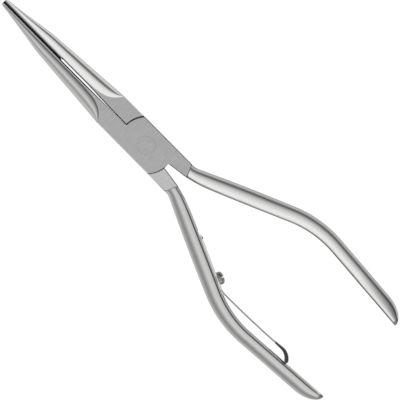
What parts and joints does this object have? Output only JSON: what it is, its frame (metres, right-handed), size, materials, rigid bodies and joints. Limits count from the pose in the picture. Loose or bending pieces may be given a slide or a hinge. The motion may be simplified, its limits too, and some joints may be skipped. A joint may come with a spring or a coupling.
{
  "type": "fish bone tweezers",
  "caption": "Plier-shaped fish bone tweezers in steel: toothed jaws with a relief slot, riveted lap joint, bent rounded handles and a leaf spring with a sleeved end on one handle.",
  "frame": {"origin": "centre of the pivot rivet on the joint's ground rear face; the crowns of the jaws stand 0.34 mm proud of that face", "axes": "+Y towards the tips of the jaws, +Z along the pivot from the rear face to the front face, +X to the right when seen from the front with the jaws up"},
  "size_m": [0.0576, 0.2003, 0.0076],
  "materials": {
    "forged_steel": "ground flats with a fine grain, polished rounded jaws and handles",
    "rivet_steel": "ground flush with the joint's faces",
    "spring_steel": "bright rolled strip",
    "screw_steel": "turned, slightly darker than the halves",
    "black_plastic": "satin black"
  },
  "bodies": {
    "front_body": {"front_half": "forged_steel", "pivot_rivet": "rivet_steel"},
    "rear_body": {"rear_half": "forged_steel", "leaf_spring": "spring_steel", "spring_screw": "screw_steel", "locating_pin": "screw_steel", "spring_sleeve": "black_plastic"}
  },
  "joints": [
    {"name": "jaw_pivot", "type": "hinge", "parent": "front_body", "child": "rear_body", "pos_m": [0, 0, 0.0035], "axis": [0, 0, -1], "range_deg": [0, 30]}
  ]
}
